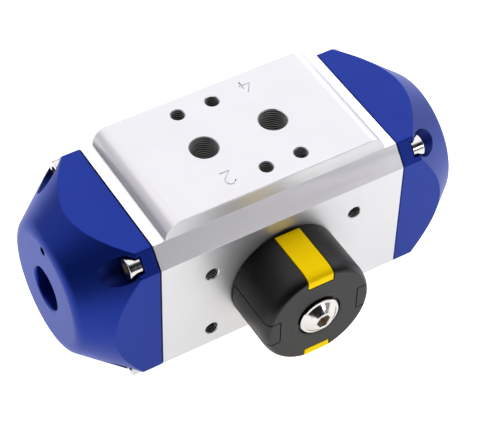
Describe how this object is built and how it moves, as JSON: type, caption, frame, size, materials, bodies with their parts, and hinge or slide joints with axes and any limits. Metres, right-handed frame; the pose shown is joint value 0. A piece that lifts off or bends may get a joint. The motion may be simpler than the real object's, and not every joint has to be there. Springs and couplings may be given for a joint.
{
  "type": "rotary pneumatic actuator",
  "caption": "Compact double-acting rack-and-pinion pneumatic actuator with end caps, a valve mounting pad and a round position indicator on its quarter-turn shaft.",
  "frame": {"origin": "on the flat resting face, straight below the pinion's axis", "axes": "+X along the cylinder, towards the right-hand cap seen from the indicator; -Y along the pinion, out of the indicator; +Z out of the valve pad"},
  "size_m": [0.1334, 0.0786, 0.0602],
  "materials": {
    "anodised_aluminium": "satin anodised extrusion",
    "blue_coating": "satin blue coating on an aluminium casting",
    "polished_steel": "polished stainless steel",
    "shaft_steel": "machined steel",
    "black_plastic": "fine-grained moulded plastic",
    "yellow_plastic": "smooth moulded plastic",
    "seal_rubber": "nitrile rubber",
    "bearing_plastic": "plain bearing plastic",
    "cast_aluminium": "die-cast, machined where it seals"
  },
  "bodies": {
    "cylinder": {"cylinder_body": "anodised_aluminium", "end_cap_left": "blue_coating", "end_cap_right": "blue_coating", "cap_gasket_left": "seal_rubber", "cap_gasket_right": "seal_rubber", "cap_screw_left_top_front": "polished_steel", "cap_screw_left_top_back": "polished_steel", "cap_screw_left_bottom_front": "polished_steel", "cap_screw_left_bottom_back": "polished_steel", "cap_screw_right_top_front": "polished_steel", "cap_screw_right_top_back": "polished_steel", "cap_screw_right_bottom_front": "polished_steel", "cap_screw_right_bottom_back": "polished_steel", "pinion_bush_front": "bearing_plastic", "pinion_bush_rear": "bearing_plastic"},
    "pinion": {"drive_pinion": "shaft_steel", "pinion_o_ring_front": "seal_rubber", "pinion_o_ring_rear": "seal_rubber", "thrust_washer": "bearing_plastic", "retaining_ring": "polished_steel", "indicator_knob": "black_plastic", "indicator_marker_top": "yellow_plastic", "indicator_marker_bottom": "yellow_plastic", "indicator_filler_left": "black_plastic", "indicator_filler_right": "black_plastic", "indicator_screw": "polished_steel"},
    "left_piston": {"piston_left": "cast_aluminium", "piston_left_seal": "seal_rubber", "piston_left_wear_ring": "bearing_plastic", "piston_left_guide_pad": "bearing_plastic"},
    "right_piston": {"piston_right": "cast_aluminium", "piston_right_seal": "seal_rubber", "piston_right_wear_ring": "bearing_plastic", "piston_right_guide_pad": "bearing_plastic"}
  },
  "joints": [
    {"name": "pinion_turn", "type": "hinge", "parent": "cylinder", "child": "pinion", "pos_m": [0, 0, 0.02525], "axis": [0, -1, 0], "range_deg": [0, 90]},
    {"name": "piston_left_slide", "type": "slide", "parent": "cylinder", "child": "left_piston", "axis": [-1, 0, 0], "range_m": [0, 0.01178]},
    {"name": "piston_right_slide", "type": "slide", "parent": "cylinder", "child": "right_piston", "axis": [1, 0, 0], "range_m": [0, 0.01178]}
  ],
  "couplings": [
    {"joint": "pinion_turn", "follows": "piston_left_slide", "rad_per_m": 133.33},
    {"joint": "piston_right_slide", "follows": "piston_left_slide", "ratio": 1}
  ]
}
